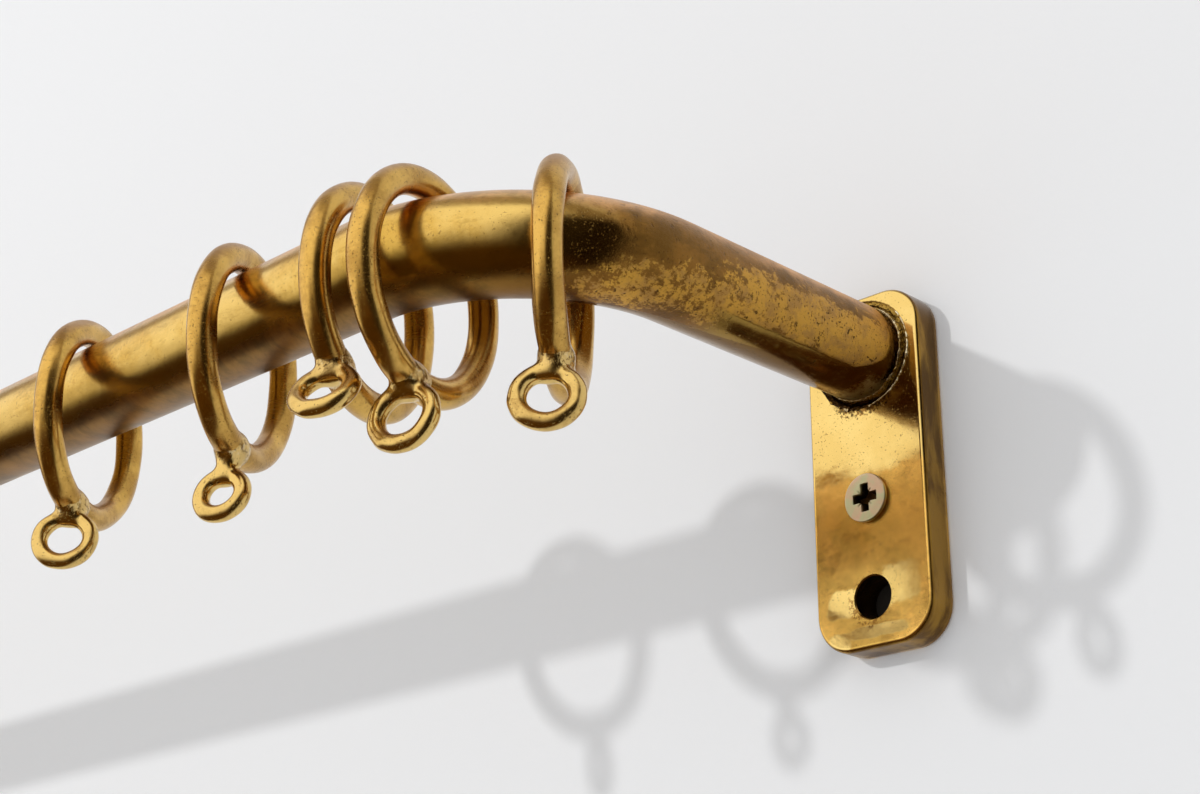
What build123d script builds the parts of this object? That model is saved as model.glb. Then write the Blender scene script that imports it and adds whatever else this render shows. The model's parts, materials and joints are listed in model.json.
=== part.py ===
"""French return curtain rod: a brass pole bent back to the wall at both ends, with rings on it.

Millimetres. +X runs along the window, +Y into the wall and +Z up. The origin lies on the wall,
midway between the lower fixing holes of the two wall plates.
"""

import os

from build123d import *

# The pole
pole_diameter = 19.0
pole_wall = 1.5
plate_spacing = 600.0  # centre of one wall plate to centre of the other
projection = 100.0  # wall to the centre line of the straight run
bend_radius = 38.0  # centre line of each bend

# The wall plates
plate_width = 27.2
plate_thickness = 6.5
plate_top_corner = 8.0
plate_bottom_corner = 8.0
plate_front_edge = 0.9  # rounding of the front edge
pole_centre_below_plate_top = 12.2
pole_centre_above_upper_hole = 29.8
hole_spacing = 19.5  # upper fixing hole to lower fixing hole
lower_hole_above_plate_bottom = 9.8
fixing_hole_diameter = 8.3
fixing_hole_chamfer = 0.25

# The joint of pole and plate
socket_depth = 3.5
socket_clearance = 0.05  # radial
braze_groove_width = 1.55  # radial
braze_groove_depth = 1.2
braze_below_face = 0.35  # lowest point of the hollow bead under the plate's face

# The fixing screws
screw_head_diameter = 9.6
screw_head_rim = 0.7  # straight edge above the cone
screw_shank_diameter = 5.0
screw_length = 40.0
screw_point_length = 6.0
recess_span = 5.5
recess_arm = 1.8
recess_depth = 2.4
recess_taper = 12.0  # degrees
recess_turn = 0.0  # degrees that the cross is turned on the screw's axis

# The rings
hoop_inner_diameter = 32.6
hoop_wire = 5.7
hang_gap = 0.3  # the hoop's inside above the pole's top
eye_wire = 3.4
neck_at_eye = 4.3  # diameter of the braze neck where it leaves the eye
neck_at_hoop = 6.4  # and where it spreads over the hoop

# How each ring hangs, from the one nearest the window's middle to the one nearest the wall:
# distance along the pole from the wall, turn of the hoop about the vertical and swing of the eye
# towards the room. The angles are in degrees.
ring_distance = (211.5, 158.7, 121.7, 108.7, 84.0)
ring_turn = (32.5, 30.3, 21.5, -4.0, -20.0)
ring_swing = (13.5, 8.5, 33.5, 12.0, 22.5)

# How each eye is made and brazed on: its size, how far it is filed to a saddle on the hoop (less
# than nothing where a longer neck of braze joins them), its twist and lean on its neck in degrees,
# and how far it sits to one side of the hoop's wire
eye_outer_diameter = (13.4, 11.6, 13.2, 13.9, 13.5)
eye_sink = (1.5, -1.2, 2.2, 2.2, 1.0)
eye_twist = (-12.5, 3.0, -2.5, -4.5, -2.0)
eye_lean = (0.0, 6.5, 0.0, 0.0, -7.0)
eye_aside = (0.0, -0.7, 0.4, 0.2, -1.0)

# Sizes that follow from those above
pole_radius = pole_diameter / 2
half_span = plate_spacing / 2
upper_hole_height = hole_spacing
pole_height = upper_hole_height + pole_centre_above_upper_hole
plate_top = pole_height + pole_centre_below_plate_top
plate_bottom = -lower_hole_above_plate_bottom
plate_front = Plane.XZ.offset(plate_thickness)
pole_end = plate_thickness - socket_depth
screw_head_radius = screw_head_diameter / 2
screw_shank_radius = screw_shank_diameter / 2
hole_mouth_radius = fixing_hole_diameter / 2 + fixing_hole_chamfer
screw_head_top = plate_thickness + (screw_head_radius - hole_mouth_radius) + screw_head_rim
hoop_radius = (hoop_inner_diameter + hoop_wire) / 2
hoop_drop = hoop_inner_diameter / 2 - pole_radius - hang_gap
sides = {"right": 1, "left": -1}


def write(piece, name):
    """Label a finished piece and write it as its own STEP file."""
    piece.label = name
    export_step(piece, f"parts/{name}.step")


def to_side(vector, side):
    """A direction or place worked out for the right-hand end, mirrored for the left-hand end."""
    return Vector(side * vector.X, vector.Y, vector.Z)


def make_pole():
    """The tube, one length with both ends bent back to the wall."""
    with BuildPart() as pole:
        with BuildLine() as route:
            FilletPolyline(
                (half_span, -pole_end, pole_height),
                (half_span, -projection, pole_height),
                (-half_span, -projection, pole_height),
                (-half_span, -pole_end, pole_height),
                radius=bend_radius,
            )
        with BuildSketch(Plane(origin=route.line @ 0, z_dir=route.line % 0)):
            Circle(pole_radius)
            Circle(pole_radius - pole_wall, mode=Mode.SUBTRACT)
        sweep()
    return pole.part, route.wire()


def make_plate(side):
    """A thick rounded plate with a blind socket for the pole and two plain fixing holes."""
    middle = side * half_span
    with BuildPart() as plate:
        with BuildSketch(Plane.XZ) as outline:
            with Locations((middle, (plate_top + plate_bottom) / 2)):
                Rectangle(plate_width, plate_top - plate_bottom)
            fillet(outline.vertices().group_by(Axis.Y)[-1], radius=plate_top_corner)
            fillet(outline.vertices().group_by(Axis.Y)[0], radius=plate_bottom_corner)
        extrude(amount=plate_thickness)
        front = plate.faces().sort_by(Axis.Y)[0]
        fillet(front.outer_wire().edges(), radius=plate_front_edge)
        with Locations(plate_front * Location((middle, pole_height))):
            CounterBoreHole(
                radius=pole_radius + socket_clearance,
                counter_bore_radius=pole_radius + braze_groove_width,
                counter_bore_depth=braze_groove_depth,
                depth=socket_depth,
            )
        for height in (0, upper_hole_height):
            with Locations(plate_front * Location((middle, height))):
                Hole(radius=fixing_hole_diameter / 2)
        mouths = plate.faces().sort_by(Axis.Y)[0].inner_wires()
        for mouth in mouths.sort_by(Axis.Z)[:2]:
            chamfer(mouth.edges(), length=fixing_hole_chamfer)
    return plate.part


def make_braze(side):
    """The hollow bead of braze that fills the groove round the pole."""
    middle = side * half_span
    floor = braze_groove_depth - plate_thickness
    face = -plate_thickness
    inner = pole_radius
    outer = pole_radius + braze_groove_width
    with BuildPart() as braze:
        with BuildSketch(Plane.XY.offset(pole_height)):
            with BuildLine():
                Polyline(
                    (middle + inner, face),
                    (middle + inner, floor),
                    (middle + outer, floor),
                    (middle + outer, face),
                )
                ThreePointArc(
                    (middle + outer, face),
                    (middle + (inner + outer) / 2, face + braze_below_face),
                    (middle + inner, face),
                )
            make_face()
        revolve(axis=Axis((middle, 0, pole_height), (0, 1, 0)))
    return braze.part


def make_screw(side):
    """A countersunk cross-head wood screw whose cone sits on the mouth of the upper hole."""
    middle = side * half_span
    tip = screw_length - screw_head_top
    cone_end = screw_head_rim + screw_head_radius - screw_shank_radius - screw_head_top
    with BuildPart() as screw:
        with BuildSketch(Plane.XY.offset(upper_hole_height)):
            with BuildLine():
                Polyline(
                    (middle, -screw_head_top),
                    (middle + screw_head_radius, -screw_head_top),
                    (middle + screw_head_radius, screw_head_rim - screw_head_top),
                    (middle + screw_shank_radius, cone_end),
                    (middle + screw_shank_radius, tip - screw_point_length),
                    (middle, tip),
                    close=True,
                )
            make_face()
        revolve(axis=Axis((middle, 0, upper_hole_height), (0, 1, 0)))
        with BuildSketch(Plane.XZ.offset(screw_head_top)):
            with Locations((middle, upper_hole_height)):
                for turn in (recess_turn, recess_turn + 90):
                    Rectangle(recess_span, recess_arm, rotation=turn)
        extrude(amount=-recess_depth, taper=recess_taper, mode=Mode.SUBTRACT)
    return screw.part


def ring_planes(index, side, route):
    """Planes of one ring's hoop and eye, each with z along its axis and x away from the pole."""
    along = ring_distance[index] - pole_end
    on_pole = route.position_at(along, position_mode=PositionMode.LENGTH)
    heading = route.tangent_at(along, position_mode=PositionMode.LENGTH)
    axis = -heading.rotate(Axis.Z, ring_turn[index])
    out = Vector(0, 0, -1).rotate(Axis((0, 0, 0), axis), -ring_swing[index])
    across = axis.cross(out).rotate(Axis((0, 0, 0), out), eye_twist[index])
    bent = Axis((0, 0, 0), across.cross(out))
    eye_out = out.rotate(bent, eye_lean[index])
    eye_axis = across.rotate(bent, eye_lean[index])
    hoop_centre = on_pole - Vector(0, 0, hoop_drop)
    eye_reach = hoop_radius + (hoop_wire + eye_outer_diameter[index]) / 2 - eye_sink[index]
    eye_centre = hoop_centre + out * eye_reach + axis * eye_aside[index]
    hoop_plane = Plane(to_side(hoop_centre, side), x_dir=to_side(out, side), z_dir=to_side(axis, side))
    eye_plane = Plane(to_side(eye_centre, side), x_dir=to_side(eye_out, side), z_dir=to_side(eye_axis, side))
    return hoop_plane, eye_plane


def make_hoop(hoop_plane):
    """The large ring that runs on the pole, round wire closed into a circle."""
    with BuildPart(hoop_plane) as hoop:
        Torus(hoop_radius, hoop_wire / 2)
    return hoop.part


def make_eye(index, hoop, hoop_plane, eye_plane):
    """The small ring for the curtain's hook, with its braze neck saddled on the hoop."""
    eye_radius = (eye_outer_diameter[index] - eye_wire) / 2
    neck_start = eye_plane.origin - eye_plane.x_dir * eye_radius
    neck_end = hoop_plane.origin + hoop_plane.x_dir * hoop_radius
    towards_hoop = (neck_end - neck_start).normalized()
    with BuildPart() as eye:
        with BuildSketch(Plane(neck_start, z_dir=towards_hoop)):
            Circle(neck_at_eye / 2)
        with BuildSketch(Plane(neck_end, z_dir=towards_hoop)):
            Circle(neck_at_hoop / 2)
        loft()
        with Locations(eye_plane):
            Torus(eye_radius, eye_wire / 2)
        add(hoop, mode=Mode.SUBTRACT)
    return eye.part


os.makedirs("parts", exist_ok=True)

pole, pole_route = make_pole()
write(pole, "pole")

for name, side in sides.items():
    write(make_plate(side), f"{name}_wall_plate")
    write(make_braze(side), f"{name}_braze_bead")
    write(make_screw(side), f"{name}_screw")
    for index in range(len(ring_distance)):
        hoop_plane, eye_plane = ring_planes(index, side, pole_route)
        hoop = make_hoop(hoop_plane)
        write(make_eye(index, hoop, hoop_plane, eye_plane), f"{name}_ring_{index + 1}_eye")
        write(hoop, f"{name}_ring_{index + 1}_hoop")
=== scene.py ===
"""The looks of a french return curtain rod: aged brass, brazed wall plates and hand-made rings.

Run as a script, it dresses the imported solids: the wall plates keep their form and get aged brass,
and the pole, rings, brazing and screws are built again with their fine shape. Lengths are in
metres, in the frame of the solids: +X along the window, +Y into the wall, +Z up.
"""

import json
import math

import bpy
import numpy as np
from bpy.props import FloatProperty, FloatVectorProperty, IntProperty, PointerProperty
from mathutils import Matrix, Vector


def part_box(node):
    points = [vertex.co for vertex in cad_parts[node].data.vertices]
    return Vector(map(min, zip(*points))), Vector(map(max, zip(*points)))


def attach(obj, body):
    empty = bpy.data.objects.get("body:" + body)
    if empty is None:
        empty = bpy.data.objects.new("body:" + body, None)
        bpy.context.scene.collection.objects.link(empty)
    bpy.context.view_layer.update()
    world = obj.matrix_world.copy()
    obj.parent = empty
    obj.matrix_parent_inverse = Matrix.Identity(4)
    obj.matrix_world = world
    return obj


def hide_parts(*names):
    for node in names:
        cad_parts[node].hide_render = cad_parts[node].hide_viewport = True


bl_info = {
    "name": "French return curtain rod",
    "version": (1, 0, 0),
    "blender": (4, 5, 0),
    "location": "3D View > Sidebar > Curtain Rod",
    "description": "Dresses a brass french return curtain rod with its rings and wall plates",
    "category": "Object",
}

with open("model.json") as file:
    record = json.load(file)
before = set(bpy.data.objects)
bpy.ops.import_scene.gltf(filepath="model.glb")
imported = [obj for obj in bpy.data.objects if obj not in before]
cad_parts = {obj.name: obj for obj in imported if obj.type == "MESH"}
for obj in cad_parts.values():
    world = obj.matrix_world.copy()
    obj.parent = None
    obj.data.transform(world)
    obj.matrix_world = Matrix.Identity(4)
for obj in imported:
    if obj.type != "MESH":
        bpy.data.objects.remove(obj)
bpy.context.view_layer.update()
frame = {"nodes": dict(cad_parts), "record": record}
MOUNTS = {mount["name"]: mount for mount in frame["record"]["mounts"]}
MM = 0.001
SIDES = {"right": 1, "left": -1}
RING_COUNT = 5
PLATE_LOW, PLATE_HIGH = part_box("right_wall_plate")
PLATE_CENTRE = (PLATE_LOW.x + PLATE_HIGH.x) / 2
PLATE_FACE = PLATE_LOW.y
POLE_LOW, POLE_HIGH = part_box("pole")
POLE_RADIUS = (POLE_HIGH.z - POLE_LOW.z) / 2
POLE_HEIGHT = (POLE_HIGH.z + POLE_LOW.z) / 2
BEND_CENTRE = next(joint["pos_m"] for joint in frame["record"]["behaviour"]["joints"]
                   if joint["name"] == "right_ring_4_round_bend")
SCREW_LOW, SCREW_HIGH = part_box("right_screw")
SCREW_SHANK_RADIUS = MOUNTS["right_screw_shank"]["dims"]["r_mm"] * MM
UPPER_HOLE = MOUNTS["right_screw_shank"]["pos_m"][2]
SCREW_RIM = 0.7 * MM
RECESS_SPAN, RECESS_ARM, RECESS_DEPTH = 5.6 * MM, 1.8 * MM, 2.2 * MM
BEAD_LOW, BEAD_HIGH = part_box("right_braze_bead")

# The stage: how far the wall's sheet and the painted-shade discs of the open holes' bores lie
# behind the plates' backs, how near a reflection of the wall is left out, the sheets' reach, the
# dome and the lamp
WALL_BEHIND, BORE_BEHIND, TOUCHING = 0.0006, 0.0003, 0.0016
BORE_RADIUS = 5.4 * MM
STAGE_SIDE, STAGE_TOP, STAGE_FRONT, FLOOR_HEIGHT = 4, 3, -5, -2.2
DOME_RADIUS = 2.1
LAMP_WAY, LAMP_AIM, LAMP_DISTANCE, LAMP_SIZE = (0.42, 1.0, -0.34), (0.2, 0.0, 0.0), 3.0, 0.12


def length(name, description, default):
    """A size that can be changed in the sidebar."""
    return FloatProperty(name=name, description=description, default=default,
                         unit="LENGTH", precision=5)


def steps(name, description, default, least):
    """A whole number of steps."""
    return IntProperty(name=name, description=description, default=default, min=least)


def share(name, description, default):
    """A number from 0 to 1."""
    return FloatProperty(name=name, description=description, default=default, min=0.0, max=1.0,
                         subtype="FACTOR")


def colour(name, description, default):
    """A colour, in linear light."""
    return FloatVectorProperty(name=name, description=description, default=default, size=3,
                               min=0.0, max=1.0, subtype="COLOR")


class RodSizes(bpy.types.PropertyGroup):
    """The fine sizes of the pieces that are built again."""

    pole_sides: steps("Pole sides", "Steps round the pole", 96, 16)
    bend_steps: steps("Bend steps", "Steps along each bend of the pole", 72, 8)
    hoop_unevenness: length("Hoop unevenness", "How far a hoop's wire strays from round", 0.09 * MM)
    hoop_flats: length("Hoop flats", "Depth of the flats ground along a hoop's wire", 0.16 * MM)
    hoop_segments: steps("Hoop segments", "Steps round each hoop", 176, 24)
    hoop_sides: steps("Wire sides", "Steps round the hoop's wire", 36, 8)
    braze_spread: length("Braze spread", "Fillet where an eye is brazed to its hoop", 2.4 * MM)
    neck_low: length("Neck at the eye", "Diameter of the braze neck at the eye", 3.7 * MM)
    neck_high: length("Neck at the hoop", "Diameter of the braze neck at the hoop", 5.4 * MM)
    eye_notch: length("Eye notch", "Gap where the ends of the eye's wire meet", 0.35 * MM)
    eye_step: length("Eye step", "Grid step that the eyes are meshed at", 0.19 * MM)
    bead_segments: steps("Bead segments", "Steps round the brazing of the pole", 480, 48)
    bead_hollow: length("Bead hollow", "How far the braze lies under the plate's face", 0.85 * MM)
    thread_pitch: length("Thread pitch", "From one turn of the thread to the next", 2.4 * MM)
    thread_depth: length("Thread depth", "Height of the screw's thread", 0.8 * MM)
    screw_sides: steps("Screw sides", "Steps round each screw", 120, 24)


class RodFinish(bpy.types.PropertyGroup):
    """The colours and polish of the metals."""

    clean: colour("Clean brass", "Brass where it is polished bright", (0.82, 0.60, 0.215))
    worn: colour("Worn brass", "Brass dulled by handling", (0.62, 0.38, 0.075))
    rubbed: colour("Rubbed brass", "Dull yellow brass, bare in flakes", (0.56, 0.305, 0.050))
    film: colour("Brown film", "Brown tarnish of the returns", (0.27, 0.125, 0.024))
    rosy: colour("Rosy film", "Thin pinkish tarnish on top", (0.40, 0.215, 0.085))
    burnished: colour("Burnished brass", "Olive brass, smooth near the plates", (0.36, 0.22, 0.045))
    ring: colour("Ring brass", "Brown brass of the hoops", (0.68, 0.415, 0.100))
    eye: colour("Eye brass", "Paler brass of the eyes", (0.72, 0.495, 0.165))
    orange: colour("Orange brass", "Warm tarnish, low on the plates", (0.92, 0.545, 0.130))
    # Also laid into the screws' cross recesses as painted shade.
    dark: colour("Dark film", "Thick brown tarnish that still shines", (0.13, 0.062, 0.012))
    deep_tarnish_and_shade: colour("Deep tarnish", "Darkest tarnish, in pits and creases", (0.050, 0.024, 0.006))
    braze: colour("Braze", "Filler metal of the brazed joints", (0.80, 0.72, 0.52))
    zinc: colour("Zinc", "Passivated zinc of the screws", (0.64, 0.53, 0.36))
    polish: share("Polish", "Roughness of the cleanest brass", 0.14)
    dullness: share("Dullness", "Roughness that the film adds", 0.24)


class RodStage(bpy.types.PropertyGroup):
    """The camera, the wall and the light."""

    camera_place: FloatVectorProperty(
        name="Camera place", description="Where the camera stands",
        default=(0.52758, -0.31246, -0.10493), size=3, subtype="TRANSLATION")
    camera_turn: FloatProperty(
        name="Camera turn", description="Turn of the camera to the left of the wall's normal",
        default=math.radians(44.404), subtype="ANGLE")
    camera_tilt: FloatProperty(
        name="Camera tilt", description="How far the camera looks up",
        default=math.radians(21.041), subtype="ANGLE")
    focal_length: FloatProperty(
        name="Focal length", description="In millimetres, on a sensor 36 mm wide",
        default=62.006, subtype="DISTANCE_CAMERA")
    wall_colour: colour("Wall", "Paint of the wall and the floor", (0.925, 0.93, 0.94))
    sky_strength: FloatProperty(
        name="Surround", description="Brightness of the even light all round", default=0.73)
    sun_power: FloatProperty(
        name="Key light", description="Power of the small lamp that casts the shadows",
        default=22.0, subtype="POWER")
    panel_colour: FloatVectorProperty(
        name="Soft panel", description="Light of the large panel at the upper left",
        default=(1.25, 1.21, 1.13), size=3, min=0.0, max=4.0)
    low_colour: colour("Room below", "Reflected light below the panel", (0.090, 0.043, 0.006))
    high_colour: colour("Room above", "Reflected light above the panel", (0.42, 0.36, 0.29))
    far_colour: colour("Room right", "Reflected light at the right", (0.030, 0.020, 0.008))


class Tree:
    """Short calls for building one shader node tree."""

    def __init__(self, tree):
        self.tree = tree

    def feed(self, socket, value):
        """Links a socket to another, or sets its value."""
        if isinstance(value, bpy.types.NodeSocket):
            self.tree.links.new(value, socket)
        elif socket.type == "RGBA" and len(value) == 3:
            socket.default_value = (*value, 1.0)
        else:
            socket.default_value = value

    def add(self, kind, inputs=None, **settings):
        """A node of that kind, with its settings made and its sockets fed."""
        node = self.tree.nodes.new("ShaderNode" + kind)
        for key, value in settings.items():
            setattr(node, key, value)
        for key, value in (inputs or {}).items():
            self.feed(node.inputs[key], value)
        return node

    def math(self, operation, a, b=0.0, clamp=False):
        node = self.add("Math", {0: a, 1: b}, operation=operation, use_clamp=clamp)
        return node.outputs[0]

    def plus(self, a, b, clamp=False):
        return self.math("ADD", a, b, clamp)

    def minus(self, a, b):
        return self.math("SUBTRACT", a, b)

    def times(self, a, b):
        return self.math("MULTIPLY", a, b)

    def most(self, a, b):
        return self.math("MAXIMUM", a, b)

    def without(self, mask):
        """The reverse of a mask."""
        return self.minus(1.0, mask)

    def vector(self, operation, a, b=(0.0, 0.0, 0.0)):
        node = self.add("VectorMath", {0: a, 1: b}, operation=operation)
        return node.outputs["Value" if operation in ("DOT_PRODUCT", "LENGTH") else "Vector"]

    def fade(self, value, low, high, start=0.0, end=1.0):
        """A smooth change from start to end as value goes from low to high."""
        node = self.add("MapRange", {"Value": value, "From Min": low, "From Max": high,
                                     "To Min": start, "To Max": end},
                        interpolation_type="SMOOTHSTEP")
        return node.outputs[0]

    def blend(self, factor, a, b):
        node = self.add("Mix", data_type="RGBA")
        for socket, value in zip((node.inputs[0], node.inputs[6], node.inputs[7]), (factor, a, b)):
            self.feed(socket, value)
        return node.outputs[2]

    def coat(self, base, mask, amount, colour):
        """A colour laid over another, where a mask says and by that amount."""
        return self.blend(self.times(mask, amount), base, colour)

    def noise(self, place, scale, detail=4.0, roughness=0.55, distortion=0.0):
        node = self.add("TexNoise", {"Vector": place, "Scale": scale, "Detail": detail,
                                     "Roughness": roughness, "Distortion": distortion})
        return node.outputs["Fac"]

    def stretched(self, place, scale):
        return self.vector("MULTIPLY", place, scale)

    def object_place(self):
        return self.add("TexCoord").outputs["Object"]

    def parts(self, place):
        """The X, Y and Z of a place or a direction."""
        return self.add("SeparateXYZ", {0: place}).outputs

    def noted(self, name, output="Fac"):
        """What the points of a piece carry under that name."""
        return self.add("Attribute", attribute_name=name).outputs[output]

    def torn(self, value, texture, amount, low, high):
        """A fade of a value that a texture pushes up and down, so that its edge is ragged."""
        pushed = self.plus(value, self.times(self.minus(texture, 0.5), amount))
        return self.fade(pushed, low, high)


def scaled(colour_values, factor):
    """A colour, lighter or darker."""
    return tuple(factor * value for value in colour_values)


def node_group(name, inputs, outputs):
    """A new shader node group; gives its tree, the values it is given and the sockets to feed."""
    group = bpy.data.node_groups.new(name, "ShaderNodeTree")
    for key, (kind, default) in inputs.items():
        socket = group.interface.new_socket(name=key, in_out="INPUT",
                                            socket_type="NodeSocket" + kind)
        if default is not None:
            socket.default_value = default
    for key, kind in outputs.items():
        group.interface.new_socket(name=key, in_out="OUTPUT", socket_type="NodeSocket" + kind)
    given = group.nodes.new("NodeGroupInput").outputs
    return Tree(group), given, group.nodes.new("NodeGroupOutput").inputs


def place_group(tree, name, values):
    """Puts a finished group into a tree, with its own values, and gives its outputs."""
    node = tree.tree.nodes.new("ShaderNodeGroup")
    node.node_tree = bpy.data.node_groups[name]
    for key, value in values.items():
        tree.feed(node.inputs[key], value)
    return node.outputs


def make_cloudy_group():
    """Tarnish that lies in clouds with ragged edges and breaks up into small specks."""
    tree, given, out = node_group(
        "cloudy_tarnish",
        {"Place": ("Vector", None), "Cloud Size": ("Float", 0.012), "Cover": ("Float", 0.5),
         "Raggedness": ("Float", 0.4), "Edge": ("Float", 0.08)},
        {"Cloud": "Float", "Speckle": "Float"})
    scale = tree.math("DIVIDE", 1.0, given["Cloud Size"])
    large = tree.noise(given["Place"], scale, 3.0, 0.5, 0.4)
    small = tree.noise(given["Place"], tree.times(scale, 9.0), 5.0, 0.65, 0.2)
    level = tree.without(given["Cover"])
    cloud = tree.torn(large, small, given["Raggedness"],
                      tree.minus(level, given["Edge"]), tree.plus(level, given["Edge"]))
    tree.feed(out["Cloud"], cloud)
    specks = tree.noise(given["Place"], tree.times(scale, 22.0), 3.0, 0.7)
    tree.feed(out["Speckle"], tree.fade(specks, 0.54, 0.66))


def make_scratch_group():
    """Fine scratches and rubbing marks that run mainly one way."""
    tree, given, out = node_group(
        "rubbing_marks",
        {"Place": ("Vector", None), "Along": ("Vector", (40.0, 900.0, 900.0))},
        {"Marks": "Float", "Haze": "Float"})
    drawn = tree.stretched(given["Place"], given["Along"])
    tree.feed(out["Marks"], tree.noise(drawn, 1.0, 5.0, 0.7))
    tree.feed(out["Haze"], tree.fade(tree.noise(drawn, 0.22, 3.0, 0.6), 0.35, 0.7))


def make_unevenness_group():
    """The slow waves that hand polishing leaves in a surface, and shallow dings."""
    tree, given, out = node_group(
        "hand_polish",
        {"Place": ("Vector", None), "Wave": ("Float", 0.014), "Ding": ("Float", 0.0035)},
        {"Height": "Float"})
    wave = tree.noise(given["Place"], tree.math("DIVIDE", 1.0, given["Wave"]), 1.0, 0.3)
    ding = tree.noise(given["Place"], tree.math("DIVIDE", 1.0, given["Ding"]), 2.0, 0.5)
    tree.feed(out["Height"], tree.plus(wave, tree.times(ding, 0.12)))


def make_ends_group():
    """Place and facing with the left end folded over the right, so both ends wear alike."""
    tree, _, out = node_group("folded_ends", {}, {"Place": "Vector", "Facing": "Vector"})
    place = tree.parts(tree.object_place())
    facing = tree.parts(tree.add("TexCoord").outputs["Normal"])
    side = tree.math("SIGN", place["X"])
    place = {0: tree.math("ABSOLUTE", place["X"]), 1: place["Y"], 2: place["Z"]}
    facing = {0: tree.times(facing["X"], side), 1: facing["Y"], 2: facing["Z"]}
    tree.feed(out["Place"], tree.add("CombineXYZ", place).outputs[0])
    tree.feed(out["Facing"], tree.add("CombineXYZ", facing).outputs[0])


def new_material(name):
    """A material with a Principled shader alone; gives the material, its tree and the shader."""
    material = bpy.data.materials.new(name)
    material.use_nodes = True
    material.node_tree.nodes.clear()
    tree = Tree(material.node_tree)
    shader = tree.add("BsdfPrincipled")
    output = tree.add("OutputMaterial")
    tree.feed(output.inputs["Surface"], shader.outputs[0])
    return material, tree, shader


def metal(tree, shader, colour_socket, roughness, heights):
    """Feeds a metal shader: colour, roughness, and bumps from (height, distance) pairs."""
    shader.inputs["Metallic"].default_value = 1.0
    tree.feed(shader.inputs["Base Color"], colour_socket)
    tree.feed(shader.inputs["Roughness"], roughness)
    normal = None
    for height, distance in heights:
        bump = tree.add("Bump", {"Height": height, "Distance": distance, "Strength": 1.0})
        if normal is not None:
            tree.feed(bump.inputs["Normal"], normal)
        normal = bump.outputs["Normal"]
    tree.feed(shader.inputs["Normal"], normal)


def patch(tree, place, centre, reach, raggedness, edge):
    """A ragged patch with blunt corners, full at its centre: place and reach in metres."""
    offset = tree.vector("DIVIDE", tree.vector("SUBTRACT", place, centre), reach)
    distance = tree.math("SQRT", tree.vector("LENGTH", tree.vector("MULTIPLY", offset, offset)))
    rough = tree.noise(place, 330.0, 5.0, 0.65)
    return tree.torn(distance, rough, raggedness, 1.0 + edge, 1.0 - edge)


def specks(tree, place, size, cluster_size, amount):
    """Tiny dark specks that gather in clusters."""
    fine = tree.noise(place, 1.0 / size, 2.0, 0.5)
    cluster = tree.noise(place, 1.0 / cluster_size, 3.0, 0.6)
    return tree.torn(fine, cluster, amount, 0.665, 0.72)


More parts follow.
